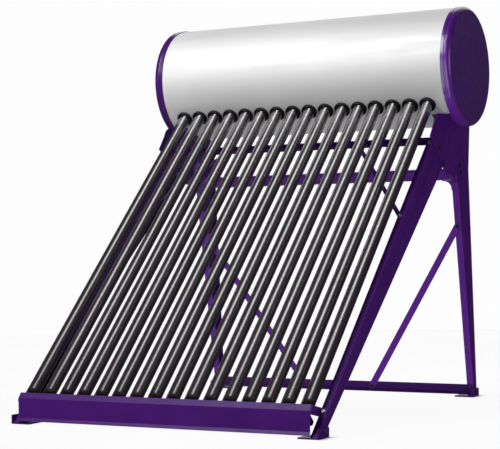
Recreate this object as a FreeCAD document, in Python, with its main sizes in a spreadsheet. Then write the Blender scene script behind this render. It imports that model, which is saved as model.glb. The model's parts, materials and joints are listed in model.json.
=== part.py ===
"""Solar water heater: a horizontal insulated tank over a bank of sixteen sloping glass tubes.

The tank lies along X. The tubes slope down to the front (-Y) and stand in a tail rail. Two tapered
channel legs on each side carry the tank on curved brackets. The origin is on the ground, at the
centre of the heater's outline, and +Z is up.
"""

import FreeCAD, Part
import math
import os

import Sketcher  # noqa: F401  (registers the sketch type)

Vector = FreeCAD.Vector
DOC = FreeCAD.newDocument("SolarWaterHeater")

# name, value, what it is. Lengths in millimetres, angles in degrees.
SIZES = [
    ("tube_count", 16, "number of glass tubes"),
    ("tube_pitch", 75.0, "distance between tube axes"),
    ("tube_slope", 43.8, "slope of the tubes above the ground"),
    ("tube_offset", 7.6, "how far the tube axes pass above the tank axis"),
    ("tube_radius", 23.5, "outside radius of a glass tube"),
    ("tube_length", 1800.0, "mouth to tip of a glass tube"),
    ("tube_tip", 1858.0, "tank axis to the tip of a tube, along the slope"),
    ("glass_wall", 1.6, "thickness of either glass wall"),
    ("absorber_radius", 18.5, "outside radius of the inner glass tube"),
    ("absorber_gap", 30.0, "distance between the tips of the inner and outer tubes"),
    ("running_gap", 0.5, "radial room around a sliding tube"),
    ("tank_y", 564.0, "tank axis behind the centre of the outline"),
    ("tank_height", 1360.0, "tank axis above the ground"),
    ("shell_radius", 241.0, "outside radius of the outer casing"),
    ("shell_wall", 1.0, "thickness of the outer casing"),
    ("shell_length", 1328.0, "length of the outer casing"),
    ("shell_hole", 29.0, "radius of a tube hole in the casing"),
    ("inner_radius", 185.0, "outside radius of the water tank"),
    ("inner_wall", 1.5, "thickness of the water tank"),
    ("inner_length", 1210.0, "straight length of the water tank"),
    ("inner_dome", 30.0, "bulge of each end of the water tank"),
    ("inner_hole", 29.0, "radius of a tube hole in the water tank"),
    ("cap_radius", 244.0, "outside radius of an end cap"),
    ("cap_reach", 682.0, "middle of the tank to the face of an end cap"),
    ("cap_depth", 42.0, "depth of an end cap from its rim to its face"),
    ("cap_disc", 229.0, "radius of the flat disc of an end cap"),
    ("ring_radius", 34.0, "outside radius of a dust ring"),
    ("ring_depth", 11.0, "how far a dust ring stands out of the casing"),
    ("nipple_radius", 10.5, "outside radius of a half-inch pipe nipple"),
    ("nipple_bore", 7.5, "bore of a pipe nipple"),
    ("nipple_reach", 30.0, "how far a nipple stands out of the casing"),
    ("nipple_x", 480.0, "water nipples from the middle of the tank"),
    ("vent_x", 330.0, "vent nipple from the middle of the tank"),
    ("web_x", 618.0, "outer face of the leg webs from the middle"),
    ("sheet", 2.5, "thickness of the stand's pressed steel"),
    ("plate", 3.0, "thickness of the brackets and flat bars"),
    ("leg_flange", 28.0, "width of a leg's flanges"),
    ("front_toe", 801.6, "front edge of the front legs at the ground, ahead of the centre"),
    ("front_heel", 754.9, "rear edge of the front legs at the ground, ahead of the centre"),
    ("front_slope", 43.4, "slope of the front edge of the front legs"),
    ("heel_slope", 39.4, "slope of the rear edge of the front legs"),
    ("rear_toe", 722.0, "front edge of the rear legs at the ground, behind the centre"),
    ("rear_lean", 9.8, "lean of the front edge of the rear legs from upright"),
    ("rear_heel", 756.0, "rear edge of the rear legs at the ground, behind the centre"),
    ("rear_heel_lean", 3.7, "lean of the rear edge of the rear legs from upright"),
    ("rear_leg_top", 1040.0, "height of the rear legs"),
    ("saddle_gap", 0.5, "room between tank and saddle"),
    ("saddle_width", 76.0, "width of a saddle under the tank"),
    ("rail_face", 799.0, "tail rail's front face ahead of the centre"),
    ("rail_half", 592.0, "half of the tail rail's length"),
    ("rail_sheet", 1.5, "thickness of the tail rail"),
    ("cup_stem", 9.5, "radius of a tail cup's stem"),
    ("foot_length", 88.0, "length of a foot"),
    ("foot_height", 33.0, "height of a foot's upright"),
    ("foot_reach", 76.0, "how far a foot's base reaches inwards"),
    ("foot_base", 5.0, "thickness of a foot's base"),
    ("front_foot_y", 758.0, "anchor holes of the front feet ahead of the centre"),
    ("rear_foot_y", 726.0, "anchor holes of the rear feet behind the centre"),
    ("anchor_x", 568.0, "anchor holes from the middle"),
    ("anchor_radius", 6.0, "radius of an anchor hole"),
    ("bolt_radius", 4.0, "radius of a stand bolt"),
    ("bolt_hole", 4.5, "radius of a bolt hole"),
    ("head_radius", 7.5, "corner radius of a bolt head or nut"),
    ("head_height", 5.3, "height of a bolt head or nut"),
    ("washer_radius", 8.5, "radius of a washer"),
    ("washer_height", 1.6, "thickness of a washer"),
]


def make_sheet():
    """Write the driving dimensions to the spreadsheet, each under its own alias."""
    sheet = DOC.addObject("Spreadsheet::Sheet", "Sizes")
    for row, (alias, value, meaning) in enumerate(SIZES, start=1):
        sheet.set("A%d" % row, alias)
        sheet.set("B%d" % row, str(value))
        sheet.set("C%d" % row, meaning)
        sheet.setAlias("B%d" % row, alias)
    DOC.recompute()
    return sheet


SHEET = make_sheet()


def size(alias):
    """Value of one driving dimension."""
    return float(SHEET.get(alias))


def bind(feature, **properties):
    """Bind a feature's properties to formulas over the spreadsheet."""
    for name, formula in properties.items():
        words = [("Sizes." + word if word in ALIASES else word) for word in formula.split()]
        feature.setExpression(name, " ".join(words))


ALIASES = {row[0] for row in SIZES}
STEEL = size("sheet")
PLATE = size("plate")
WEB_X = size("web_x")
TANK = Vector(0, size("tank_y"), size("tank_height"))
SIDES = (("left", -1), ("right", 1))


# ---------------------------------------------------------------- frames and outlines

def slope_frame(slope, base):
    """Frame with X kept, Z running up a slope towards the rear, at a base point."""
    turn = FreeCAD.Rotation(Vector(1, 0, 0), slope - 90)
    return FreeCAD.Placement(base, turn)


TUBE_FRAME = slope_frame(size("tube_slope"), TANK)
FRONT_FRAME = slope_frame(size("front_slope"), Vector(0, -size("front_toe"), 0))
REAR_FRAME = slope_frame(90 + size("rear_lean"), Vector(0, size("rear_toe"), 0))


def in_frame(frame, x, y, z):
    """Placement of a point of a frame, turned with the frame."""
    return frame.multiply(FreeCAD.Placement(Vector(x, y, z), FreeCAD.Rotation()))


def polar(radius, degrees):
    """Point at an angle from the first axis of a sketch."""
    angle = math.radians(degrees)
    return radius * math.cos(angle), radius * math.sin(angle)


def strip_outline(path, thickness):
    """Outline of a folded strip: a path and the same path set off to its left, with mitred folds."""
    inner = []
    for index, (x, y) in enumerate(path):
        before = path[max(index - 1, 0)]
        after = path[min(index + 1, len(path) - 1)]
        ins = unit(x - before[0], y - before[1]) if index else None
        out = unit(after[0] - x, after[1] - y) if index < len(path) - 1 else None
        ins = ins or out
        out = out or ins
        normal = unit(-ins[1] - out[1], ins[0] + out[0])
        reach = thickness / (normal[0] * -ins[1] + normal[1] * ins[0])
        inner.append((x + normal[0] * reach, y + normal[1] * reach))
    return list(path) + inner[::-1]


def unit(x, y):
    """Direction of a vector in a sketch."""
    length = math.hypot(x, y)
    return x / length, y / length


# ---------------------------------------------------------------- features

def body(label, placement=None):
    """Empty body of one sub-part."""
    part = DOC.addObject("PartDesign::Body", label)
    part.Label = label
    part.Placement = placement or FreeCAD.Placement()
    return part


def origin_feature(part, role):
    """One of the body's own origin planes or axes."""
    return [item for item in part.Origin.OriginFeatures if item.Role == role][0]


def sketch(part, name, plane, outlines, lift=0.0):
    """Sketch of closed outlines on an origin plane, lifted along the plane's normal.

    An outline is a list of points. A point of four numbers ends an arc through its first pair.
    A circle is a tuple ("circle", x, y, radius).
    """
    drawing = part.newObject("Sketcher::SketchObject", part.Name + "_" + name)
    drawing.AttachmentSupport = [(origin_feature(part, plane), "")]
    drawing.MapMode = "FlatFace"
    drawing.AttachmentOffset = FreeCAD.Placement(Vector(0, 0, lift), FreeCAD.Rotation())
    for outline in outlines:
        if outline[0] == "circle":
            centre = Vector(outline[1], outline[2], 0)
            drawing.addGeometry(Part.Circle(centre, Vector(0, 0, 1), outline[3]), False)
            continue
        here = Vector(*outline[-1][-2:], 0)
        for point in outline:
            there = Vector(*point[-2:], 0)
            if len(point) == 4:
                edge = Part.Arc(here, Vector(point[0], point[1], 0), there)
            else:
                edge = Part.LineSegment(here, there)
            drawing.addGeometry(edge, False)
            here = there
    return drawing


def pad(part, drawing, length, reverse=False, middle=False):
    """Add a pad whose length is a formula over the spreadsheet."""
    feature = part.newObject("PartDesign::Pad", drawing.Name + "_pad")
    feature.Profile = drawing
    feature.Reversed = reverse
    feature.SideType = "Symmetric" if middle else "One side"
    bind(feature, Length=length)
    return feature


def pocket(part, drawing, length=None, reverse=False):
    """Cut a pocket of a given length, or through everything."""
    feature = part.newObject("PartDesign::Pocket", drawing.Name + "_pocket")
    feature.Profile = drawing
    feature.Reversed = reverse
    if length:
        bind(feature, Length=length)
    else:
        feature.Type = "ThroughAll"
    return feature


def revolve(part, drawing, axis):
    """Turn a profile a full turn about a body axis."""
    feature = part.newObject("PartDesign::Revolution", drawing.Name + "_turn")
    feature.Profile = drawing
    feature.ReferenceAxis = (origin_feature(part, axis), [""])
    feature.Angle = 360
    return feature


def repeat_per_tube(part, feature):
    """Repeat a feature once for every tube, along the tank."""
    row = part.newObject("PartDesign::LinearPattern", feature.Name + "_row")
    row.Originals = [feature]
    row.Direction = (origin_feature(part, "X_Axis"), [""])
    bind(row, Length="( tube_count - 1 ) * tube_pitch", Occurrences="tube_count")
    part.Tip = row
    return row


def rod(name, base, direction, radius, length):
    """Cylinder bound to the sheet, from a base point along a direction."""
    feature = DOC.addObject("Part::Cylinder", name)
    bind(feature, Radius=radius, Height=length)
    feature.Placement = FreeCAD.Placement(base, FreeCAD.Rotation(Vector(0, 0, 1), direction))
    return feature


def drilled(label, solid, holes):
    """The solid with a round hole along each (point, direction, radius alias)."""
    tools = []
    for index, (point, direction, radius) in enumerate(holes):
        start = point - direction * 20
        tools.append(rod("%s_hole_%d" % (label, index), start, direction, radius, "40"))
    cut = DOC.addObject("Part::Cut", label)
    cut.Base = solid
    if len(tools) == 1:
        cut.Tool = tools[0]
    else:
        fuse = DOC.addObject("Part::MultiFuse", label + "_holes")
        fuse.Shapes = tools
        cut.Tool = fuse
    cut.Label = label
    return cut


def group(label, members):
    """One node of several separate solids."""
    compound = DOC.addObject("Part::Compound", label)
    compound.Links = members
    compound.Label = label
    return compound


# ---------------------------------------------------------------- tank

FIRST_X = -(size("tube_count") - 1) * size("tube_pitch") / 2
TUBE_Y = -size("tube_offset")


def bored_drum(label, outlines, hole):
    """Body turned about the tank axis, with a hole below for every tube."""
    part = body(label + "_body", TUBE_FRAME)
    revolve(part, sketch(part, "profile", "XZ_Plane", outlines), "X_Axis")
    circle = sketch(part, "bore", "XY_Plane", [("circle", FIRST_X, TUBE_Y, hole)])
    repeat_per_tube(part, pocket(part, circle))
    return part


def ring_profile(half_length, outer, inner):
    """Rectangle that turns into a drum's wall."""
    return [[(-half_length, inner), (half_length, inner), (half_length, outer), (-half_length, outer)]]


def nipple_spots():
    """Name, root on the tank axis and direction of each pipe nipple, on the tank's rear."""
    low = Vector(0, *polar(1, -35))
    high = Vector(0, *polar(1, 50))
    return [
        ("cold_inlet_nipple", TANK + Vector(-size("nipple_x"), 0, 0), low),
        ("hot_outlet_nipple", TANK + Vector(size("nipple_x"), 0, 0), low),
        ("vent_nipple", TANK + Vector(-size("vent_x"), 0, 0), high),
    ]


def nipple_holes(radius, depth):
    """Holes for the nipples through a wall at some depth from the tank axis."""
    return [(root + way * depth, way, radius) for _, root, way in nipple_spots()]


def make_tank():
    """Outer casing, foam, water tank, end caps and pipe nipples."""
    radius = size("shell_radius")
    foam = radius - size("shell_wall") - 0.3
    half = size("shell_length") / 2
    shell = bored_drum("tank_shell", ring_profile(half, radius, radius - size("shell_wall")),
                       size("shell_hole"))
    core = bored_drum("tank_foam", ring_profile(half - 24, foam, size("inner_radius") + 0.5),
                      size("inner_hole") + 5)
    water = bored_drum("water_tank", [vessel_profile()], size("inner_hole"))
    nodes = [
        drilled("tank_shell", shell, nipple_holes("nipple_radius + 0.3", radius)),
        drilled("tank_insulation", core, nipple_holes("nipple_radius + 0.6", 202)
                + nipple_holes("nipple_radius + 0.6", 232)),
        drilled("inner_tank", water, nipple_holes("nipple_radius + 0.3", size("inner_radius"))),
    ]
    nodes += [make_end_cap(name, side) for name, side in SIDES]
    nodes += [make_nipple(*spot) for spot in nipple_spots()]
    nodes.append(make_vent_cap(*nipple_spots()[2][1:]))
    return nodes


def dome_height(radius, rise, across):
    """Height of a round dome above its rim, at a distance from its axis."""
    sphere = (radius ** 2 + rise ** 2) / (2 * rise)
    return rise - sphere + math.sqrt(sphere ** 2 - across ** 2)


def vessel_profile():
    """Half outline of the closed water tank, wall only, with domed ends."""
    half = size("inner_length") / 2
    radius = size("inner_radius")
    wall = size("inner_wall")
    dome = size("inner_dome")
    middle = radius / 2
    outside = half + dome_height(radius, dome, middle)
    inside = half + dome_height(radius - wall, dome - wall, middle)
    return [
        (-half - dome, 0), (-outside, middle, -half, radius),
        (half, radius), (outside, middle, half + dome, 0),
        (half + dome - wall, 0), (inside, middle, half, radius - wall),
        (-half, radius - wall), (-inside, middle, -half - dome + wall, 0),
    ]


def make_end_cap(name, side):
    """Pressed steel cap: a rim with a rolled groove, a rounded shoulder and a flat disc."""
    reach = size("cap_reach")
    radius = size("cap_radius")
    disc = size("cap_disc")
    rim = reach - size("cap_depth")
    hold = size("shell_radius") + 0.3
    wall = 1.4
    outline = [
        (rim, hold), (rim, radius - 0.8), (rim + 0.8, radius), (rim + 13, radius),
        (rim + 14.5, radius - 1.3, rim + 17, radius - 1.7),
        (rim + 19.5, radius - 1.3, rim + 21, radius),
        (rim + 22, radius), (rim + 34.5, radius - 4.1, reach, disc),
        (reach, 0), (reach - wall, 0), (reach - wall, disc - 0.2),
        (rim + 35.7, radius - 7, rim + 25, radius - 1.6), (rim + 24.5, hold),
    ]
    part = body("end_cap_" + name, FreeCAD.Placement(TANK, FreeCAD.Rotation()))
    flipped = [mirrored(point, side) for point in outline]
    revolve(part, sketch(part, "profile", "XZ_Plane", [flipped]), "X_Axis")
    return part


def mirrored(point, side):
    """Outline point with its first coordinates on one side of the middle."""
    return tuple(value * side if index % 2 == 0 else value for index, value in enumerate(point))


def make_nipple(label, root, way):
    """Straight pipe from inside the water tank to outside the casing, with a fixing collar."""
    frame = FreeCAD.Placement(root, FreeCAD.Rotation(Vector(0, 0, 1), way))
    part = body(label, frame)
    outer = size("nipple_radius")
    bore = size("nipple_bore")
    start = size("inner_radius") - 12
    skin = size("shell_radius")
    end = skin + size("nipple_reach")
    outline = [
        (bore, start), (outer, start), (outer, skin + 1.4), (outer + 6, skin + 1.4),
        (outer + 6, skin + 4), (outer, skin + 6), (outer, end - 1), (outer - 1, end), (bore, end),
    ]
    revolve(part, sketch(part, "profile", "XZ_Plane", [outline]), "Z_Axis")
    return part


def make_vent_cap(root, way):
    """Loose mushroom cap that keeps rain out of the vent."""
    part = body("vent_cap", FreeCAD.Placement(root, FreeCAD.Rotation(Vector(0, 0, 1), way)))
    inner = size("nipple_radius") + 0.4
    end = size("shell_radius") + size("nipple_reach")
    brim = inner + 7
    dome = 5.5
    outline = [
        (inner, end - 14), (inner + 2.2, end - 14), (inner + 2.2, end - 2), (brim - 1, end - 3),
        (brim, end - 1), (brim / 2, end - 1 + dome_height(brim, dome, brim / 2), 0, end - 1 + dome),
        (0, end + 0.4), (inner, end + 0.4),
    ]
    revolve(part, sketch(part, "profile", "XZ_Plane", [outline]), "Z_Axis")
    return part


# ---------------------------------------------------------------- tubes and rubber

def make_tube(index):
    """Double-walled glass tube, closed and round at its foot, its walls joined at the mouth."""
    outer = size("tube_radius")
    wall = size("glass_wall")
    inner = size("absorber_radius")
    low = -size("tube_tip")
    top = low + size("tube_length")
    foot = low + outer
    inner_foot = low + size("absorber_gap") + inner
    mouth = (outer - inner + wall) / 2
    lip = outer - mouth
    outline = [
        (outer, foot), (*polar_at(outer, -45, foot), 0, low),
        (0, low + wall), (*polar_at(outer - wall, -45, foot), outer - wall, foot),
        (outer - wall, top - mouth), (lip, top - wall, inner, top - mouth),
        (inner, inner_foot), (*polar_at(inner, -45, inner_foot), 0, inner_foot - inner),
        (0, inner_foot - inner + wall),
        (*polar_at(inner - wall, -45, inner_foot), inner - wall, inner_foot),
        (inner - wall, top - mouth), (lip, top, outer, top - mouth),
    ]
    x = FIRST_X + index * size("tube_pitch")
    part = body("evacuated_tube_%02d" % (index + 1), in_frame(TUBE_FRAME, x, TUBE_Y, 0))
    revolve(part, sketch(part, "profile", "XZ_Plane", [outline]), "Z_Axis")
    return part


def polar_at(radius, degrees, height):
    """Point at an angle on a circle centred on the tube axis at a height."""
    across, up = polar(radius, degrees)
    return across, height + up


def turned_row(label, outline):
    """A ring turned about each tube axis, all in one node."""
    part = body(label + "_rings", in_frame(TUBE_FRAME, FIRST_X, TUBE_Y, 0))
    part.AllowCompound = True
    turn = revolve(part, sketch(part, "profile", "XZ_Plane", [outline]), "Z_Axis")
    repeat_per_tube(part, turn)
    return part


def trimmed_to_drum(label, rings, radius):
    """The rings cut to sit on a drum of some radius about the tank axis."""
    drum = rod(label + "_drum", TANK - Vector(700, 0, 0), Vector(1, 0, 0), radius, "1400")
    cut = DOC.addObject("Part::Cut", label)
    cut.Base = rings
    cut.Tool = drum
    cut.Label = label
    return cut


def make_rubber():
    """Dust rings outside the casing, and the silicone seals in the water tank's holes."""
    bore = size("tube_radius") + size("running_gap")
    radius = size("ring_radius")
    skin = -size("shell_radius")
    front = skin - size("ring_depth")
    ring = [
        (bore, skin + 8), (radius - 2, skin + 8), (radius - 0.6, skin), (radius, front + 6),
        (radius - 1.3, front + 1.6, radius - 5, front), (bore + 2, front), (bore, front + 1.5),
    ]
    wall = -size("inner_radius")
    hole = size("inner_hole") - 0.3
    seal = [
        (bore, wall - 13), (bore + 2.5, wall - 14), (hole + 3, wall - 11), (hole + 3, wall + 6),
        (hole, wall + 6), (hole, wall + 15), (bore + 1.5, wall + 19), (bore, wall + 19),
    ]
    rings = turned_row("dust_rings", ring)
    seals = turned_row("tube_seals", seal)
    shoulder = DOC.addObject("Part::Cylinder", "seal_shoulder")
    bind(shoulder, Radius="inner_radius + 0.2", Height="1400")
    shoulder.Placement = FreeCAD.Placement(TANK - Vector(700, 0, 0),
                                           FreeCAD.Rotation(Vector(0, 0, 1), Vector(1, 0, 0)))
    return [trimmed_to_drum("dust_rings", rings, "shell_radius + 0.2"), make_seals(seals, shoulder, hole)]


def make_seals(seals, shoulder, hole):
    """Seals whose outer shoulder ends at the water tank, and whose neck passes through its hole."""
    necks = turned_row("seal_necks", [
        (0, -size("inner_radius") - 20), (hole, -size("inner_radius") - 20),
        (hole, -size("inner_radius") + 25), (0, -size("inner_radius") + 25),
    ])
    waste = DOC.addObject("Part::Cut", "seal_waste")
    waste.Base = shoulder
    waste.Tool = necks
    cut = DOC.addObject("Part::Cut", "tube_seals")
    cut.Base = seals
    cut.Tool = waste
    cut.Label = "tube_seals"
    return cut


# ---------------------------------------------------------------- tail rail

def make_tail():
    """Pressed rail across the front, the strip that carries the cups, the cups and the rail arms."""
    face = -size("rail_face")
    rail = body("tail_rail")
    path = [(face + 16, 114.6), (face, 94.8), (face, 24), (face - 9, 13)]
    pad(rail, sketch(rail, "section", "YZ_Plane", [strip_outline(path, size("rail_sheet"))]),
        "2 * rail_half", middle=True)
    return [rail, make_cup_strip(), make_cups()] + [make_rail_arm(*side) for side in SIDES]


CUP_FLOOR = -size("tube_tip") - 4.5


def make_cup_strip():
    """Folded strip behind the rail, square to the tubes, with a hole for every cup's stem."""
    frame = in_frame(TUBE_FRAME, 0, TUBE_Y, 0)
    part = body("tail_cup_strip", frame)
    wall = -size("rail_face") + size("rail_sheet") + 0.1
    front = (wall - frame.multVec(Vector(0, 0, CUP_FLOOR)).y) / math.sin(math.radians(size("tube_slope")))
    tab = polar(8, -size("tube_slope"))
    path = [(30, CUP_FLOOR - 18), (30, CUP_FLOOR), (front, CUP_FLOOR), (front + tab[0], CUP_FLOOR + tab[1])]
    pad(part, sketch(part, "section", "YZ_Plane", [strip_outline(path, 2.0)]),
        "2 * rail_half - 4", middle=True)
    hole = sketch(part, "stem_hole", "XY_Plane", [("circle", FIRST_X, 0, size("cup_stem") + 0.3)],
                  lift=CUP_FLOOR + 5)
    repeat_per_tube(part, pocket(part, hole, "12"))
    return part


def make_cups():
    """Moulded cups: a bowl under each tube's round tip, a shoulder and a stem."""
    centre = -size("tube_tip") + size("tube_radius")
    seat = size("tube_radius") + size("running_gap")
    skin = seat + 2.2
    rim = -42
    stem = size("cup_stem")
    shoulder = polar_at(skin, -52, centre)
    outline = [
        (0, centre - seat), (*polar_at(seat, (rim - 90) / 2, centre), *polar_at(seat, rim, centre)),
        polar_at(skin, rim, centre), (*polar_at(skin, -47, centre), *shoulder),
        (shoulder[0], CUP_FLOOR), (stem, CUP_FLOOR), (stem, CUP_FLOOR - 4.5),
        (stem - 1, CUP_FLOOR - 5.5), (0, CUP_FLOOR - 5.5),
    ]
    return turned_row_node("tail_cups", outline)


def turned_row_node(label, outline):
    """A row of turned pieces that needs no trimming."""
    part = turned_row(label, outline)
    part.Label = label
    return part


def make_rail_arm(name, side):
    """Plate that ties an end of the rail to the front leg, with a bolted tab on the leg's flange."""
    face = -size("rail_face") + size("rail_sheet")
    slope = math.radians(size("front_slope"))
    toe = -size("front_toe")

    def leg_front(height, stand=0.0):
        return toe + height / math.tan(slope) - stand / math.sin(slope)

    plate = body("rail_arm_%s_plate" % name, FreeCAD.Placement(Vector(side * size("rail_half"), 0, 0),
                                                               FreeCAD.Rotation()))
    outline = [(face + 15.5, 112), (face + 0.3, 93), (face + 0.3, 82), (leg_front(68), 68),
               (leg_front(94), 94)]
    pad(plate, sketch(plate, "side", "YZ_Plane", [outline]), "sheet", reverse=side < 0)
    tab = body("rail_arm_%s_tab" % name, in_frame(FRONT_FRAME, side * size("rail_half"), 0, 0))
    low = 68 / math.sin(slope)
    high = 94 / math.sin(slope)
    pad(tab, sketch(tab, "side", "YZ_Plane", [[(-STEEL, low), (0, low), (0, high),
                                               (-STEEL, high)]]), "24", reverse=side < 0)
    arm = DOC.addObject("Part::Fuse", "rail_arm_%s_blank" % name)
    arm.Base = plate
    arm.Tool = tab
    return drilled("rail_arm_" + name, arm, [ARM_BOLT.hole(side)])


# ---------------------------------------------------------------- bolts

class Bolt:
    """Place of one bolt on the right-hand side: its head's seat, its way out and its grip."""

    def __init__(self, seat, way, grip):
        self.seat = seat
        self.way = way
        self.grip = grip

    def on(self, side):
        """Seat and direction on either side of the middle."""
        seat = Vector(self.seat.x * side, self.seat.y, self.seat.z)
        way = Vector(self.way.x * side, self.way.y, self.way.z)
        return seat, way

    def hole(self, side):
        """Bolt hole for drilled()."""
        seat, way = self.on(side)
        return seat, way, "bolt_hole"


def web_bolt(y, z, cover):
    """Bolt through a leg's web and a plate of some thickness on its outside."""
    return Bolt(Vector(WEB_X + cover, y, z), Vector(1, 0, 0), cover + STEEL)


def face_bolt(frame, x, height, stand, grip):
    """Bolt square to a leg's front face, at a distance up the leg, with its head standing off it."""
    seat = frame.multVec(Vector(x, -stand, height))
    return Bolt(seat, frame.Rotation.multVec(Vector(0, -1, 0)), grip)


BAR_GAP = 0.2
BAR_STAND = PLATE + BAR_GAP + 0.1
FLANGE_X = WEB_X - 16
UPPER_BAR = 1506.0
KNEE_LOW = 1078.0
KNEE_X = 300.0
UPPER_REAR = 933.0
LOWER_REAR = 33.0
BRACE_TOP = 722.0
BRACE_X = 160.0

BRACKET_FRONT = [web_bolt(TANK.y + y, z, PLATE) for y, z in ((-212, 1017), (-168, 960))]
BRACKET_REAR = [web_bolt(TANK.y + y, z, PLATE) for y, z in ((30, 932), (24, 962))]
FRONT_FOOT_BOLT = web_bolt(-size("front_toe") + 46, 20, 4)
REAR_FOOT_BOLT = web_bolt(size("rear_toe") + 14.5, 20, 4)
ARM_BOLT = face_bolt(FRONT_FRAME, FLANGE_X + 2, 118, STEEL, 2 * STEEL)
UPPER_FRONT_BOLT = face_bolt(FRONT_FRAME, FLANGE_X, UPPER_BAR, STEEL, 2 * STEEL)
KNEE_LOW_BOLT = face_bolt(FRONT_FRAME, FLANGE_X, KNEE_LOW, BAR_STAND, BAR_STAND + STEEL)
KNEE_HIGH_BOLT = face_bolt(FRONT_FRAME, KNEE_X, UPPER_BAR, BAR_STAND + STEEL, BAR_STAND + STEEL)
UPPER_REAR_BOLT = face_bolt(REAR_FRAME, FLANGE_X, UPPER_REAR, STEEL, 2 * STEEL)
LOWER_REAR_BOLT = face_bolt(REAR_FRAME, FLANGE_X, LOWER_REAR, STEEL, 2 * STEEL)
BRACE_TOP_BOLT = face_bolt(REAR_FRAME, FLANGE_X, BRACE_TOP, BAR_STAND, BAR_STAND + STEEL)
BRACE_LOW_BOLT = face_bolt(REAR_FRAME, BRACE_X, LOWER_REAR, BAR_STAND + STEEL, BAR_STAND + STEEL)
ALL_BOLTS = BRACKET_FRONT + BRACKET_REAR + [
    FRONT_FOOT_BOLT, REAR_FOOT_BOLT, ARM_BOLT, UPPER_FRONT_BOLT, KNEE_LOW_BOLT, KNEE_HIGH_BOLT,
    UPPER_REAR_BOLT, LOWER_REAR_BOLT, BRACE_TOP_BOLT, BRACE_LOW_BOLT,
]


def hexagon(name, base, way):
    """Hexagonal head or nut."""
    feature = DOC.addObject("Part::Prism", name)
    feature.Polygon = 6
    bind(feature, Circumradius="head_radius", Height="head_height")
    feature.Placement = FreeCAD.Placement(base, FreeCAD.Rotation(Vector(0, 0, 1), way))
    return feature


def make_bolt(name, seat, way, grip, headed=True):
    """Bolt with head, two washers and a nut, or a stud that has no head."""
    washer = size("washer_height")
    head = size("head_height")
    foot = seat - way * (grip + washer + head + 2)
    reach = "%g + washer_height + head_height + 2" % grip
    pieces = [
        rod(name + "_shank", foot, way, "bolt_radius", reach),
        rod(name + "_nut_washer", seat - way * (grip + washer), way, "washer_radius", "washer_height"),
        hexagon(name + "_nut", seat - way * (grip + washer + head), way),
    ]
    if headed:
        pieces.append(rod(name + "_head_washer", seat, way, "washer_radius", "washer_height"))
        pieces.append(hexagon(name + "_head", seat + way * washer, way))
    fuse = DOC.addObject("Part::MultiFuse", name)
    fuse.Shapes = pieces
    return fuse


def make_bolts():
    """Every bolt of the stand, and the studs that hold the tank on its saddles."""
    bolts = []
    studs = []
    for name, side in SIDES:
        for index, bolt in enumerate(ALL_BOLTS):
            bolts.append(make_bolt("bolt_%s_%d" % (name, index), *bolt.on(side), bolt.grip))
        for index, (seat, way) in enumerate(saddle_studs(side)):
            studs.append(make_bolt("stud_%s_%d" % (name, index), seat, way, 3.5, headed=False))
    return [group("stand_bolts", bolts), group("saddle_studs", studs)]


def saddle_studs(side):
    """Root on the casing and inward direction of each stud that hangs through a saddle."""
    places = []
    for degrees in (252, 288):
        out = Vector(0, *polar(1, degrees))
        root = TANK + out * (size("shell_radius") + 0.2) + Vector(side * (WEB_X - 27), 0, 0)
        places.append((root, out * -1))
    return places


# ---------------------------------------------------------------- stand

def front_edge(height):
    """Front edge of a front leg at a height."""
    return -size("front_toe") + height / math.tan(math.radians(size("front_slope")))


def heel_edge(height):
    """Rear edge of a front leg at a height."""
    return -size("front_heel") + height / math.tan(math.radians(size("heel_slope")))


def rear_front_edge(height):
    """Front edge of a rear leg at a height."""
    return size("rear_toe") - height * math.tan(math.radians(size("rear_lean")))


def rear_back_edge(height):
    """Rear edge of a rear leg at a height."""
    return size("rear_heel") - height * math.tan(math.radians(size("rear_heel_lean")))


def channel_leg(label, side, outline, hollow, bolts):
    """Tapered pressed channel: its web on the outside, its flanges turned inwards along both edges."""
    part = body(label + "_blank", FreeCAD.Placement(Vector(side * WEB_X, 0, 0), FreeCAD.Rotation()))
    pad(part, sketch(part, "web", "YZ_Plane", [outline]), "leg_flange", reverse=side > 0)
    inside = sketch(part, "hollow", "YZ_Plane", [hollow], lift=-side * STEEL)
    pocket(part, inside, "leg_flange", reverse=side < 0)
    return drilled(label, part, [bolt.hole(side) for bolt in bolts])


def make_front_leg(name, side):
    """Leg that slopes with the tubes and widens towards its top."""
    base = size("foot_base")
    outline = [(front_edge(base), base), (heel_edge(base), base), (heel_edge(985), 985),
               (front_edge(1060), 1060)]
    front = STEEL / math.sin(math.radians(size("front_slope")))
    heel = STEEL / math.sin(math.radians(size("heel_slope")))
    hollow = [(front_edge(-20) + front, -20), (heel_edge(-20) - heel, -20),
              (heel_edge(1130) - heel, 1130), (front_edge(1130) + front, 1130)]
    bolts = BRACKET_FRONT + [FRONT_FOOT_BOLT, ARM_BOLT, UPPER_FRONT_BOLT, KNEE_LOW_BOLT]
    return channel_leg("front_leg_" + name, side, outline, hollow, bolts)


def make_rear_leg(name, side):
    """Nearly upright leg that widens towards its top."""
    base = size("foot_base")
    top = size("rear_leg_top")
    outline = [(rear_front_edge(base), base), (rear_back_edge(base), base), (rear_back_edge(top), top),
               (rear_front_edge(top), top)]
    front = STEEL / math.cos(math.radians(size("rear_lean")))
    back = STEEL / math.cos(math.radians(size("rear_heel_lean")))
    hollow = [(rear_front_edge(-20) + front, -20), (rear_back_edge(-20) - back, -20),
              (rear_back_edge(top + 20) - back, top + 20), (rear_front_edge(top + 20) + front, top + 20)]
    bolts = BRACKET_REAR + [REAR_FOOT_BOLT, UPPER_REAR_BOLT, LOWER_REAR_BOLT, BRACE_TOP_BOLT]
    return channel_leg("rear_leg_" + name, side, outline, hollow, bolts)


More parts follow.
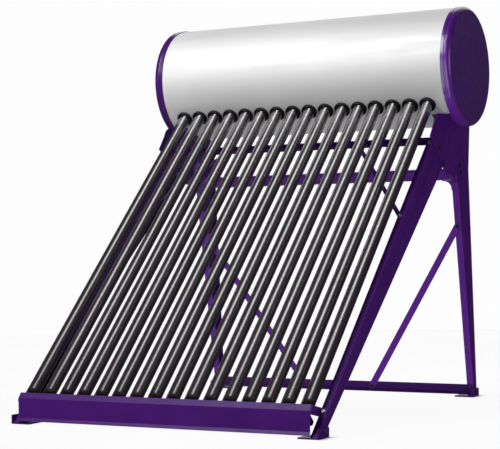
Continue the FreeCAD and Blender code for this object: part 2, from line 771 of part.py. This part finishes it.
def make_bracket(name, side):
    """Side plate that joins both legs under the tank, with a curved saddle that reaches to the end cap."""
    seat = size("shell_radius") + size("saddle_gap")
    place = Vector(side * WEB_X, TANK.y, TANK.z)
    part = body("tank_bracket_%s_blank" % name, FreeCAD.Placement(place, FreeCAD.Rotation()))
    outline = [
        (*polar(seat, 272), *polar(seat, 236)),
        (-205, -203), (-240, -212, -262, -240), (-308, -300), (-264, -331), (-186, -407), (-140, -440),
        (-128, -444), (108, -444), (120, -430), polar(seat, 308),
    ]
    pad(part, sketch(part, "plate", "YZ_Plane", [outline]), "plate", reverse=side < 0)
    outer = seat + PLATE
    strip = [polar(seat, 236), (*polar(seat, 270), *polar(seat, 308)), polar(outer, 308),
             (*polar(outer, 270), *polar(outer, 236))]
    edge = size("cap_reach") - size("cap_depth") - 1 - WEB_X
    saddle = sketch(part, "saddle", "YZ_Plane", [strip], lift=side * edge)
    pad(part, saddle, "saddle_width", reverse=side > 0)
    holes = [bolt.hole(side) for bolt in BRACKET_FRONT + BRACKET_REAR]
    holes += [(root, way, "bolt_hole") for root, way in saddle_studs(side)]
    return drilled("tank_bracket_" + name, part, holes)


def cross_bar(label, frame, path, bolts):
    """Folded bar from leg to leg, bolted to the legs' front faces."""
    part = body(label + "_blank", frame)
    section = sketch(part, "section", "YZ_Plane", [strip_outline(path, STEEL)])
    pad(part, section, "2 * web_x - 2", middle=True)
    return drilled(label, part, [bolt.hole(side) for bolt in bolts for _, side in SIDES])


def make_cross_bars():
    """Angle between the front legs, channel and angle between the rear legs."""
    return [
        cross_bar("crossbar_upper_front", FRONT_FRAME,
                  [(0, UPPER_BAR - 12), (0, UPPER_BAR + 13), (-20, UPPER_BAR + 13)],
                  [UPPER_FRONT_BOLT, KNEE_HIGH_BOLT]),
        cross_bar("crossbar_upper_rear", REAR_FRAME,
                  [(-18, UPPER_REAR - 18), (0, UPPER_REAR - 18), (0, UPPER_REAR + 28),
                   (-18, UPPER_REAR + 28)],
                  [UPPER_REAR_BOLT]),
        cross_bar("crossbar_lower_rear", REAR_FRAME,
                  [(-20, LOWER_REAR - 20), (0, LOWER_REAR - 20), (0, LOWER_REAR + 19)],
                  [LOWER_REAR_BOLT, BRACE_LOW_BOLT]),
    ]


def flat_bar(label, frame, side, low, high, width, bolts):
    """Round-ended flat bar between two (x, stand, height) places in front of a pair of legs."""
    start, end = [frame.multVec(Vector(side * x, -stand, height)) for x, stand, height in (low, high)]
    along = end - start
    length = along.Length
    along.normalize()
    out = frame.Rotation.multVec(Vector(0, -1, 0))
    turn = FreeCAD.Rotation(along, out.cross(along), out, "XZY")
    part = body(label + "_blank", FreeCAD.Placement(start, turn))
    half = width / 2
    outline = [(length, -half), (length + half, 0, length, half), (0, half), (-half, 0, 0, -half)]
    pad(part, sketch(part, "outline", "XY_Plane", [outline]), "plate")
    return drilled(label, part, [bolt.hole(side) for bolt in bolts])


def make_braces(name, side):
    """Long diagonal behind, and short knee brace in front, on one side."""
    on_leg = BAR_GAP
    on_bar = STEEL + BAR_GAP
    rear = flat_bar("rear_brace_" + name, REAR_FRAME, side, (BRACE_X, on_bar, LOWER_REAR),
                    (FLANGE_X, on_leg, BRACE_TOP), 28.0, [BRACE_LOW_BOLT, BRACE_TOP_BOLT])
    knee = flat_bar("knee_brace_" + name, FRONT_FRAME, side, (FLANGE_X, on_leg, KNEE_LOW),
                    (KNEE_X, on_bar, UPPER_BAR), 17.0, [KNEE_LOW_BOLT, KNEE_HIGH_BOLT])
    return [rear, knee]


def make_gusset(name, side):
    """Corner plate with a hollow edge, between a rear leg and the upper rear crossbar."""
    top = UPPER_REAR - 18 - STEEL
    outer = WEB_X - 2
    inner = WEB_X - size("leg_flange")
    part = body("corner_gusset_" + name, REAR_FRAME)
    outline = [(outer, top), (inner - 40, top), (inner - 40, top - 5),
               (inner - 11, top - 13, inner - 3, top - 42), (outer, top - 42)]
    flipped = [mirrored(point, side) for point in outline]
    pad(part, sketch(part, "outline", "XZ_Plane", [flipped]), "sheet")
    return part


def make_foot(label, side, centre, bolt):
    """Angle foot: an upright bolted to the leg's web, and a base with an anchor hole."""
    wall = 4.0
    place = Vector(side * (WEB_X + wall), centre, 0)
    part = body(label + "_blank", FreeCAD.Placement(place, FreeCAD.Rotation()))
    reach = -size("foot_reach")
    base = size("foot_base")
    top = size("foot_height")
    outline = [(0, base * 0.5), (-0.7, 0.7, -base * 0.5, 0), (reach, 0), (reach, base), (-wall, base),
               (-wall, top), (0, top)]
    flipped = [mirrored(point, side) for point in outline]
    pad(part, sketch(part, "section", "XZ_Plane", [flipped]), "foot_length", middle=True)
    anchor = (Vector(side * size("anchor_x"), centre, 0), Vector(0, 0, 1), "anchor_radius")
    return drilled(label, part, [anchor, bolt.hole(side)])


def make_stand():
    """Legs, brackets, bars, braces and feet."""
    nodes = make_cross_bars()
    for name, side in SIDES:
        nodes += [make_front_leg(name, side), make_rear_leg(name, side), make_bracket(name, side)]
        nodes += make_braces(name, side)
        nodes.append(make_gusset(name, side))
        nodes.append(make_foot("front_foot_" + name, side, -size("front_foot_y"), FRONT_FOOT_BOLT))
        nodes.append(make_foot("rear_foot_" + name, side, size("rear_foot_y"), REAR_FOOT_BOLT))
    return nodes


# ---------------------------------------------------------------- whole heater

def make_all():
    """Every node of the heater."""
    nodes = make_tank()
    nodes += [make_tube(index) for index in range(int(size("tube_count")))]
    nodes += make_rubber()
    nodes += make_tail()
    nodes += make_stand()
    nodes += make_bolts()
    return nodes


def check_and_write(nodes):
    """Stop on any failed feature or bad shape, then write each node's STEP file."""
    DOC.recompute()
    failed = [item.Label for item in DOC.Objects if {"Invalid", "Error"} & set(item.State)]
    if failed:
        raise RuntimeError("failed features: %s" % ", ".join(failed))
    for node in nodes:
        if node.Shape.isNull() or not node.Shape.isValid():
            raise RuntimeError("bad shape: " + node.Label)
    os.makedirs("parts", exist_ok=True)
    for node in nodes:
        node.Shape.exportStep("parts/%s.step" % node.Label)
        print("%-24s solids %3d  volume %.1f cm3" % (node.Label, len(node.Shape.Solids),
                                                    node.Shape.Volume / 1000))
    print(len(nodes), "nodes")


check_and_write(make_all())
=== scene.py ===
"""Looks of the solar water heater: materials, coated glass tubes, light and camera.

Everything is in metres in the frame of the CAD model: +X along the tank, tubes sloping down to -Y,
+Z up, the ground at Z = 0.
"""

import json
import math

import bmesh
import bpy
from mathutils import Matrix, Vector


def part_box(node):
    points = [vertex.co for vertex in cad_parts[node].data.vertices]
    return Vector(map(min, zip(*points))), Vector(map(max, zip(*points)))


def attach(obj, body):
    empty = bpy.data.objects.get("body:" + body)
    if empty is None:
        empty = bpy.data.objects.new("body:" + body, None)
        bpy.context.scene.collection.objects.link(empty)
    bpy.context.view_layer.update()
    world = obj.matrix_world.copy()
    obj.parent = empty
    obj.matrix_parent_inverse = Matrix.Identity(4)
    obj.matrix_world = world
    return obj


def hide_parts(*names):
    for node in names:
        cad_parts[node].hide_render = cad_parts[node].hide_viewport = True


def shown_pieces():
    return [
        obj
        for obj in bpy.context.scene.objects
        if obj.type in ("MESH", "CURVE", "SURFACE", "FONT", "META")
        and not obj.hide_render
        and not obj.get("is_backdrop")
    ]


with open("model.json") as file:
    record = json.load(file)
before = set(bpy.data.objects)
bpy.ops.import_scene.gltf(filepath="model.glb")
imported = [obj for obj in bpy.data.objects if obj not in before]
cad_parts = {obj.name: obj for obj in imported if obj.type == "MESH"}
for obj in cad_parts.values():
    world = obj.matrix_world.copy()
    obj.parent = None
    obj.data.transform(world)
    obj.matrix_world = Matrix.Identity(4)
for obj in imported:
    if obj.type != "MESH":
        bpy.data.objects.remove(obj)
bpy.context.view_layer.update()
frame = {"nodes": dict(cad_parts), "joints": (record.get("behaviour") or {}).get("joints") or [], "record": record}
NODES = frame["nodes"]
TUBES = sorted(name for name in NODES if name.startswith("evacuated_tube_"))
SLIDE = Vector(frame["joints"][0]["axis"]).normalized()

MM = 0.001
TUBE_LEAN = math.atan2(SLIDE.y, SLIDE.z)
ALONG_TUBE = (1, 1, 0.06)
TUBE_STEPS = 64
TUBE_RADIUS = 23.5 * MM
GLASS_WALL = 1.6 * MM
INNER_RADIUS = 18.5 * MM
FOOT_GAP = 30 * MM
COATING_RADIUS = TUBE_RADIUS - 2.0 * MM
COATING_END = 9 * MM
FILM_RADIUS = TUBE_RADIUS - 1.8 * MM
LIP = (TUBE_RADIUS - INNER_RADIUS + GLASS_WALL) / 2
ON_AXIS = 1e-7

REAR_MEMBERS = ("rear_leg_", "crossbar_upper_rear", "corner_gusset_", "rear_brace_", "knee_brace_")


# ---------------------------------------------------------------- node helpers

class Shader:
    """A material under construction, with short ways to add and join its nodes."""

    def __init__(self, name):
        self.material = bpy.data.materials.new(name)
        self.material.use_nodes = True
        self.tree = self.material.node_tree
        self.surface = self.tree.nodes["Principled BSDF"]

    def set(self, **values):
        """Constant values on the surface shader, with underscores for spaces."""
        for name, value in values.items():
            self.surface.inputs[name.replace("_", " ")].default_value = value
        return self

    def add(self, kind, **inputs):
        """New node of a kind; inputs are values, or sockets to link."""
        node = self.tree.nodes.new(kind)
        for name, value in inputs.items():
            self.feed(node.inputs[name.replace("_", " ")], value)
        return node

    def feed(self, socket, value):
        """Link or set one input socket."""
        if isinstance(value, bpy.types.NodeSocket):
            self.tree.links.new(value, socket)
        else:
            socket.default_value = value

    def place(self, stretch, lean):
        """Object coordinates, leant back about X and then stretched along the axes."""
        coordinates = self.add("ShaderNodeTexCoord").outputs["Object"]
        turned = self.add("ShaderNodeMapping", Vector=coordinates, Rotation=(lean, 0, 0)).outputs["Vector"]
        return self.add("ShaderNodeMapping", Vector=turned, Scale=stretch).outputs["Vector"]

    def noise(self, scale, detail=3.0, roughness=0.55, stretch=(1, 1, 1), lean=0.0):
        """Value of a noise of a scale per metre."""
        node = self.add("ShaderNodeTexNoise", Vector=self.place(stretch, lean), Scale=scale, Detail=detail,
                        Roughness=roughness)
        return node.outputs["Fac"]

    def ramp(self, value, stops):
        """Colour ramp over a value: (position, colour) pairs."""
        node = self.add("ShaderNodeValToRGB", Fac=value)
        elements = node.color_ramp.elements
        while len(elements) < len(stops):
            elements.new(0.5)
        for element, (position, colour) in zip(elements, stops):
            element.position = position
            element.color = (*colour, 1.0)
        return node.outputs["Color"]

    def span(self, value, low, high, start=0.0, end=1.0):
        """Value mapped from start..end to low..high."""
        node = self.add("ShaderNodeMapRange", Value=value)
        node.inputs["From Min"].default_value = start
        node.inputs["From Max"].default_value = end
        node.inputs["To Min"].default_value = low
        node.inputs["To Max"].default_value = high
        return node.outputs["Result"]

    def mix(self, factor, first, second):
        """Mix of two colours by a factor."""
        node = self.tree.nodes.new("ShaderNodeMix")
        node.data_type = "RGBA"
        self.feed(node.inputs[0], factor)
        self.feed(node.inputs[6], first)
        self.feed(node.inputs[7], second)
        return node.outputs[2]

    def times(self, first, second):
        """Product of two values."""
        node = self.tree.nodes.new("ShaderNodeMath")
        node.operation = "MULTIPLY"
        self.feed(node.inputs[0], first)
        self.feed(node.inputs[1], second)
        return node.outputs[0]

    def edges(self, radius):
        """1 on worn edges, 0 on flat faces, from the difference between bevelled and true normals."""
        bevel = self.add("ShaderNodeBevel", Radius=radius)
        bevel.samples = 4
        geometry = self.add("ShaderNodeNewGeometry")
        dot = self.tree.nodes.new("ShaderNodeVectorMath")
        dot.operation = "DOT_PRODUCT"
        self.tree.links.new(bevel.outputs["Normal"], dot.inputs[0])
        self.tree.links.new(geometry.outputs["Normal"], dot.inputs[1])
        return self.span(dot.outputs["Value"], 1.0, 0.0, 0.80, 0.97)

    def bump(self, height, distance, strength=1.0):
        """Bump from a height."""
        node = self.add("ShaderNodeBump", Height=height, Strength=strength, Distance=distance)
        self.tree.links.new(node.outputs["Normal"], self.surface.inputs["Normal"])

    def paint(self, colour=None, roughness=None):
        """Link a colour and a roughness to the surface."""
        if colour is not None:
            self.tree.links.new(colour, self.surface.inputs["Base Color"])
        if roughness is not None:
            self.tree.links.new(roughness, self.surface.inputs["Roughness"])
        return self.material


# ---------------------------------------------------------------- materials

def purple_powder_coat(name, gloss):
    """Deep violet powder coat: orange-peel texture, uneven film and slightly paler worn edges."""
    shader = Shader(name)
    shader.set(IOR=1.5, Specular_IOR_Level=0.15, Coat_Weight=gloss, Coat_Roughness=0.2)
    film = shader.ramp(shader.noise(9.0, 4.0), [(0.3, (0.046, 0.0034, 0.120)), (0.7, (0.056, 0.0050, 0.144))])
    dust = shader.noise(240.0, 2.0)
    speckled = shader.mix(shader.span(dust, 0.0, 0.06, 0.55, 0.75), film, (0.075, 0.035, 0.14, 1.0))
    colour = shader.mix(shader.times(shader.edges(1.2 * MM), 0.45), speckled, (0.13, 0.06, 0.23, 1.0))
    roughness = shader.span(shader.noise(35.0, 5.0), 0.34, 0.46, 0.3, 0.7)
    shader.bump(shader.noise(1100.0, 2.0), 0.10 * MM, 0.35)
    return shader.paint(colour, roughness)


def white_coated_steel():
    """White stove-enamelled steel with a broad soft sheen: fine roll texture and a trace of dust."""
    shader = Shader("white_coated_steel")
    shader.set(IOR=1.5, Specular_IOR_Level=0.5, Metallic=0.45)
    tone = shader.ramp(shader.noise(3.5, 4.0), [(0.3, (0.74, 0.74, 0.745)), (0.7, (0.78, 0.78, 0.78))])
    dust = shader.span(shader.noise(60.0, 6.0, stretch=(0.15, 1, 1)), 0.0, 0.16, 0.55, 0.85)
    colour = shader.mix(dust, tone, (0.56, 0.56, 0.55, 1.0))
    roughness = shader.span(shader.noise(28.0, 4.0, stretch=(0.1, 1, 1)), 0.64, 0.74, 0.3, 0.7)
    shader.bump(shader.noise(520.0, 3.0, stretch=(0.2, 1, 1)), 0.05 * MM, 0.3)
    return shader.paint(colour, roughness)


def borosilicate_glass():
    """Clear tube glass with faint dust along its length."""
    shader = Shader("borosilicate_glass")
    shader.set(IOR=1.47, Transmission_Weight=1.0)
    dust = shader.noise(60.0, 6.0, stretch=ALONG_TUBE, lean=TUBE_LEAN)
    colour = shader.ramp(dust, [(0.45, (0.985, 0.99, 0.985)), (0.85, (0.93, 0.93, 0.92))])
    roughness = shader.span(dust, 0.0, 0.02, 0.45, 0.85)
    return shader.paint(colour, roughness)


def absorber_coating():
    """Selective aluminium-nitride coating: near black with a brown and violet cast, under a clear gloss."""
    shader = Shader("absorber_coating")
    shader.set(IOR=1.5, Specular_IOR_Level=0.1, Coat_Weight=1.0, Coat_Roughness=0.13)
    cast = shader.noise(14.0, 3.0, stretch=ALONG_TUBE, lean=TUBE_LEAN)
    colour = shader.ramp(cast, [(0.35, (0.009, 0.006, 0.009)), (0.65, (0.015, 0.010, 0.014))])
    roughness = shader.span(shader.noise(90.0, 3.0, stretch=ALONG_TUBE, lean=TUBE_LEAN), 0.30, 0.40, 0.3, 0.7)
    return shader.paint(colour, roughness)


def getter_mirror():
    """Silvery barium film inside the foot of each tube, with a mottled edge."""
    shader = Shader("getter_mirror")
    shader.set(Metallic=1.0)
    spots = shader.noise(160.0, 5.0)
    colour = shader.ramp(spots, [(0.35, (0.42, 0.42, 0.44)), (0.7, (0.75, 0.75, 0.77))])
    roughness = shader.span(spots, 0.08, 0.22, 0.3, 0.7)
    return shader.paint(colour, roughness)


def black_rubber():
    """Weathered EPDM: matt black with a grey bloom and a fine moulded skin."""
    shader = Shader("black_rubber")
    shader.set(IOR=1.5, Specular_IOR_Level=0.22)
    bloom = shader.noise(70.0, 5.0)
    colour = shader.ramp(bloom, [(0.35, (0.004, 0.004, 0.004)), (0.75, (0.013, 0.012, 0.013))])
    roughness = shader.span(bloom, 0.38, 0.62, 0.3, 0.7)
    shader.bump(shader.noise(900.0, 3.0), 0.12 * MM, 0.35)
    return shader.paint(colour, roughness)


def black_plastic():
    """Moulded black polypropylene with a fine grain."""
    shader = Shader("black_plastic")
    shader.set(IOR=1.49, Specular_IOR_Level=0.45)
    grain = shader.noise(700.0, 3.0)
    colour = shader.ramp(shader.noise(30.0, 4.0),
                         [(0.3, (0.012, 0.012, 0.013)), (0.7, (0.024, 0.023, 0.025))])
    roughness = shader.span(grain, 0.36, 0.5, 0.3, 0.7)
    shader.bump(grain, 0.10 * MM, 0.35)
    return shader.paint(colour, roughness)


def zinc_plated_steel():
    """Bright zinc plate with a bluish passivation and fine spangle."""
    shader = Shader("zinc_plated_steel")
    shader.set(Metallic=1.0)
    spangle = shader.noise(380.0, 3.0)
    colour = shader.ramp(spangle, [(0.35, (0.28, 0.26, 0.33)), (0.65, (0.42, 0.40, 0.48))])
    roughness = shader.span(spangle, 0.26, 0.42, 0.3, 0.7)
    shader.bump(spangle, 0.04 * MM, 0.3)
    return shader.paint(colour, roughness)


def stainless_steel():
    """Pickled stainless pipe and sheet with a drawn grain."""
    shader = Shader("stainless_steel")
    shader.set(Metallic=1.0)
    grain = shader.noise(300.0, 4.0, stretch=(0.05, 1, 1))
    colour = shader.ramp(grain, [(0.3, (0.50, 0.49, 0.47)), (0.7, (0.64, 0.63, 0.61))])
    roughness = shader.span(grain, 0.24, 0.4, 0.3, 0.7)
    shader.bump(grain, 0.03 * MM, 0.3)
    return shader.paint(colour, roughness)


def silicone():
    """Translucent grey silicone seal."""
    shader = Shader("silicone")
    shader.set(IOR=1.41, Subsurface_Weight=0.15, Subsurface_Scale=0.004)
    cloud = shader.noise(55.0, 3.0)
    colour = shader.ramp(cloud, [(0.3, (0.50, 0.50, 0.49)), (0.7, (0.60, 0.60, 0.585))])
    return shader.paint(colour, shader.span(cloud, 0.4, 0.55, 0.3, 0.7))


def polyurethane_foam():
    """Yellowish rigid foam with open cells on its skin."""
    shader = Shader("polyurethane_foam")
    shader.set(IOR=1.4, Specular_IOR_Level=0.2)
    cells = shader.noise(420.0, 4.0)
    colour = shader.ramp(shader.noise(12.0, 3.0), [(0.3, (0.62, 0.50, 0.22)), (0.7, (0.72, 0.60, 0.30))])
    shader.bump(cells, 0.5 * MM, 0.6)
    return shader.paint(colour, shader.span(cells, 0.8, 0.95, 0.3, 0.7))


def floor_material():
    """Plain pale studio floor."""
    shader = Shader("studio_floor")
    shader.set(Specular_IOR_Level=0.0)
    tone = shader.ramp(shader.noise(0.8, 2.0), [(0.3, (0.79, 0.79, 0.79)), (0.7, (0.81, 0.81, 0.81))])
    return shader.paint(tone, shader.span(shader.noise(6.0, 2.0), 0.80, 0.9))


COATINGS = {
    "purple_powder_coat": purple_powder_coat("purple_powder_coat", 0.0),
    "purple_cap_enamel": purple_powder_coat("purple_cap_enamel", 0.8),
    "white_coated_steel": white_coated_steel(),
    "borosilicate_glass": borosilicate_glass(),
    "black_rubber": black_rubber(),
    "black_plastic": black_plastic(),
    "zinc_plated_steel": zinc_plated_steel(),
    "stainless_steel": stainless_steel(),
    "silicone": silicone(),
    "polyurethane_foam": polyurethane_foam(),
    "absorber_coating": absorber_coating(),
    "getter_mirror": getter_mirror(),
}


# ---------------------------------------------------------------- CAD pieces

def finish_cad_nodes():
    """Give every CAD node its material and, on bent sheet and plate, a small rounded edge."""
    for row in frame["record"]["subparts"]:
        node = NODES[row["node"]]
        slot = row["material_slot"]
        node.data.materials.clear()
        cap = row["node"].startswith("end_cap")
        node.data.materials.append(COATINGS["purple_cap_enamel" if cap else slot])
        if slot == "purple_powder_coat" and not cap:
            round_edges(node, 0.7 * MM)


def round_edges(piece, width):
    """Rounded edges that catch the light."""
    weld = piece.modifiers.new("Join seams", "WELD")
    weld.merge_threshold = 0.00001
    bevel = piece.modifiers.new("Rounded edges", "BEVEL")
    bevel.width = width
    bevel.segments = 2
    bevel.limit_method = "ANGLE"
    bevel.angle_limit = math.radians(40)
    bevel.harden_normals = True


# ---------------------------------------------------------------- pieces of mesh

def lathe(name, profile, origin, axis, steps=TUBE_STEPS, hollow=False):
    """Surface of (radius, height) pairs turned about an axis; a hollow one faces its own inside."""
    mesh = bpy.data.meshes.new(name)
    shape = bmesh.new()
    rings = []
    for radius, height in profile:
        if radius < ON_AXIS:
            rings.append([shape.verts.new((0, 0, height))])
            continue
        ring = []
        for step in range(steps):
            angle = math.tau * step / steps
            ring.append(shape.verts.new((radius * math.cos(angle), radius * math.sin(angle), height)))
        rings.append(ring)
    for low, high in zip(rings, rings[1:]):
        skin_band(shape, low, high, steps)
    bmesh.ops.recalc_face_normals(shape, faces=shape.faces)
    if hollow:
        bmesh.ops.reverse_faces(shape, faces=shape.faces)
    for face in shape.faces:
        face.smooth = True
    shape.to_mesh(mesh)
    shape.free()
    piece = bpy.data.objects.new(name, mesh)
    bpy.context.scene.collection.objects.link(piece)
    turn = Vector((0, 0, 1)).rotation_difference(axis).to_matrix().to_4x4()
    mesh.transform(Matrix.Translation(origin) @ turn)
    return piece


def skin_band(shape, low, high, steps):
    """Faces between two rings, either of which may be a single point."""
    for step in range(steps):
        after = (step + 1) % steps
        if len(low) == 1:
            shape.faces.new((low[0], high[step], high[after]))
        elif len(high) == 1:
            shape.faces.new((low[step], low[after], high[0]))
        else:
            shape.faces.new((low[step], low[after], high[after], high[step]))


def dress(piece, coating, body):
    """Material and body of a new piece on a glass tube."""
    piece.data.materials.append(COATINGS[coating])
    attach(piece, body)


def arc(radius, centre, start, end, steps):
    """(radius, height) pairs along an arc about a point on the axis, from start to end in degrees."""
    angles = [math.radians(start + (end - start) * step / steps) for step in range(steps + 1)]
    return [(max(radius * math.cos(angle), 0.0), centre + radius * math.sin(angle)) for angle in angles]


def glass_profile(length):
    """Outline of both glass walls of a tube: the outer face and bore, then the vacuum space between."""
    bore = INNER_RADIUS - GLASS_WALL
    sleeve = TUBE_RADIUS - GLASS_WALL
    foot = FOOT_GAP + INNER_RADIUS - TUBE_RADIUS
    vacuum_end = length + 0.8 * MM
    straight = [length * part / 6 for part in range(1, 7)]
    mouth = [(TUBE_RADIUS - LIP + LIP * math.cos(turn), length + LIP * math.sin(turn))
             for turn in (math.pi * step / 8 for step in range(1, 8))]
    outside = arc(TUBE_RADIUS, 0, -90, 0, 12) + [(TUBE_RADIUS, up) for up in straight] + mouth
    outside += [(bore, up) for up in reversed(straight)] + arc(bore, foot, 0, -90, 10)
    vacuum = arc(INNER_RADIUS, foot, -90, 0, 10) + [(INNER_RADIUS, up) for up in straight]
    vacuum += [(INNER_RADIUS, vacuum_end), (sleeve, vacuum_end)]
    vacuum += [(sleeve, up) for up in reversed(straight)] + arc(sleeve, 0, 0, -90, 12)
    return outside, vacuum


def coating_profile(length):
    """Outline of the dark coating, from a round foot to just below the mouth."""
    straight = [(COATING_RADIUS, length * part / 6) for part in range(1, 6)]
    return arc(COATING_RADIUS, FOOT_GAP, -90, 0, 10) + straight + [(COATING_RADIUS, length - COATING_END)]


def add_tubes():
    """Smooth glass for every tube, its dark coating, and the silvery film in its foot."""
    for name in TUBES:
        low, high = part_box(name)
        # A tube's foot is a half ball: its foremost and lowest points are one radius from its centre.
        centre = Vector(((low.x + high.x) / 2, low.y + TUBE_RADIUS, low.z + TUBE_RADIUS))
        mouth_rise = (TUBE_RADIUS - LIP) * SLIDE.y + LIP
        length = (high.z - centre.z - mouth_rise) / SLIDE.z
        number = name[-2:]
        outside, vacuum = glass_profile(length)
        glass = lathe("glass_tube_" + number, outside, centre, SLIDE)
        join_into(glass, lathe("vacuum_space", vacuum, centre, SLIDE, hollow=True))
        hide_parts(name)
        dress(glass, "borosilicate_glass", name)
        coating = lathe("absorber_" + number, coating_profile(length), centre, SLIDE)
        dress(coating, "absorber_coating", name)
        film = lathe("getter_film_" + number, arc(FILM_RADIUS, 0, -90, 8, 12), centre, SLIDE, steps=48)
        dress(film, "getter_mirror", name)


def join_into(piece, other):
    """Add another piece's mesh to a piece, and remove the other."""
    shape = bmesh.new()
    shape.from_mesh(piece.data)
    shape.from_mesh(other.data)
    shape.to_mesh(piece.data)
    shape.free()
    bpy.data.objects.remove(other)


# ---------------------------------------------------------------- studio

def add_floor():
    """Round pale floor just under the feet, not mirrored in the heater and not seen through its glass."""
    mesh = bpy.data.meshes.new("studio_floor")
    reach = 5.5
    steps = 96
    drop = 0.2 * MM
    rim = [(reach * math.cos(math.tau * step / steps), reach * math.sin(math.tau * step / steps), 0)
           for step in range(steps)]
    mesh.from_pydata(rim, [], [tuple(range(steps))])
    floor = bpy.data.objects.new("studio_floor", mesh)
    bpy.context.scene.collection.objects.link(floor)
    floor.location.z = -drop
    floor.visible_glossy = False
    floor.visible_transmission = False
    mesh.materials.append(floor_material())
    floor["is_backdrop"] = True


def collect(name, pieces):
    """Collection of the pieces that a light is linked to."""
    collection = bpy.data.collections.new(name)
    for piece in pieces:
        collection.objects.link(piece)
    return collection


def new_light(name, kind, energy, place, target, lit, casting):
    """Light aimed from a place at a target, which lights some pieces and throws the shadows of others."""
    data = bpy.data.lights.new(name, kind)
    data.energy = energy
    light = bpy.data.objects.new(name, data)
    bpy.context.scene.collection.objects.link(light)
    light.location = place
    light.rotation_euler = (Vector(target) - Vector(place)).to_track_quat("-Z", "Y").to_euler()
    light.light_linking.receiver_collection = collect(name + " lit", lit)
    light.light_linking.blocker_collection = collect(name + " casting", casting)
    return data


def add_lights():
    """Large soft key in front, softer lights on the sides and back, and an even wash on the floor.

    The overhead light draws the long highlights on the coated tubes.
    """
    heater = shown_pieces()
    glass = [piece for piece in heater if piece.name.startswith("glass_tube_")]
    coating = [piece for piece in heater if piece.name.startswith("absorber_")]
    opaque = [piece for piece in heater if piece not in glass]
    painted = [piece for piece in opaque if piece not in coating]
    key = new_light("Key", "AREA", 300, (-1.6, -3.4, 4.55), (0, 0.4, 0.9), painted, opaque)
    key.shape = "RECTANGLE"
    key.size = 2.4
    key.size_y = 3.0
    overhead = new_light("Overhead", "SUN", 10.0, (0.106, -0.059, 0.993), (0, 0, 0), coating, coating)
    overhead.angle = math.radians(26)
    rear = [piece for piece in painted if piece.name.startswith(REAR_MEMBERS)]
    fill = new_light("Rear fill", "SUN", 3.1, (-0.36, -0.93, 0.3), (0, 0, 0), rear, rear)
    fill.angle = math.radians(45)
    cap = [NODES["end_cap_right"]]
    bounce = new_light("Floor bounce", "SUN", 3.2, (-0.33, -0.85, -0.42), (0, 0, 0), cap, cap)
    bounce.angle = math.radians(70)
    stand = [piece for piece in painted if piece.name != "tank_shell"]
    side = new_light("Side", "SUN", 0.65, (0.95, -0.2, 0.1), (0, 0, 0), stand, opaque)
    side.angle = math.radians(30)
    back = new_light("Back", "SUN", 0.9, (-0.2, 1.0, 0.6), (0, 0, 0), painted, opaque)
    back.angle = math.radians(50)
    floor = bpy.data.objects["studio_floor"]
    feet = [NODES[name] for name in NODES if "foot" in name]
    wash = new_light("Floor wash", "SUN", 4.12, (-0.4, -0.3, 1.0), (0, 0, 0), [floor], feet)
    wash.angle = math.radians(50)


def add_world(seen, cast):
    """Pale surroundings: one brightness as seen, another as cast on the object."""
    world = bpy.data.worlds.new("Studio")
    bpy.context.scene.world = world
    world.use_nodes = True
    tree = world.node_tree
    background = tree.nodes["Background"]
    background.inputs["Color"].default_value = (1.0, 1.0, 1.0, 1.0)
    path = tree.nodes.new("ShaderNodeLightPath")
    strength = tree.nodes.new("ShaderNodeMapRange")
    strength.inputs["To Min"].default_value = cast
    strength.inputs["To Max"].default_value = seen
    tree.links.new(path.outputs["Is Camera Ray"], strength.inputs["Value"])
    tree.links.new(strength.outputs["Result"], background.inputs["Strength"])


def add_camera():
    """Camera low and to the right of the middle, looking left."""
    data = bpy.data.cameras.new("Camera")
    data.sensor_width = 36.0
    data.lens = 109.2
    data.clip_end = 200.0
    camera = bpy.data.objects.new("Camera", data)
    bpy.context.scene.collection.objects.link(camera)
    place = Matrix.Translation((2.7747, -5.308, 0.6413))
    turn = Matrix.Rotation(math.radians(27.99), 4, "Z")
    tilt = Matrix.Rotation(math.radians(90.80), 4, "X")
    roll = Matrix.Rotation(math.radians(-0.77), 4, "Z")
    camera.matrix_world = place @ turn @ tilt @ roll
    bpy.context.scene.camera = camera


finish_cad_nodes()
add_tubes()
add_floor()
add_world(0.985, 0.03)
add_lights()
add_camera()
bpy.context.scene.view_settings.view_transform = "Standard"
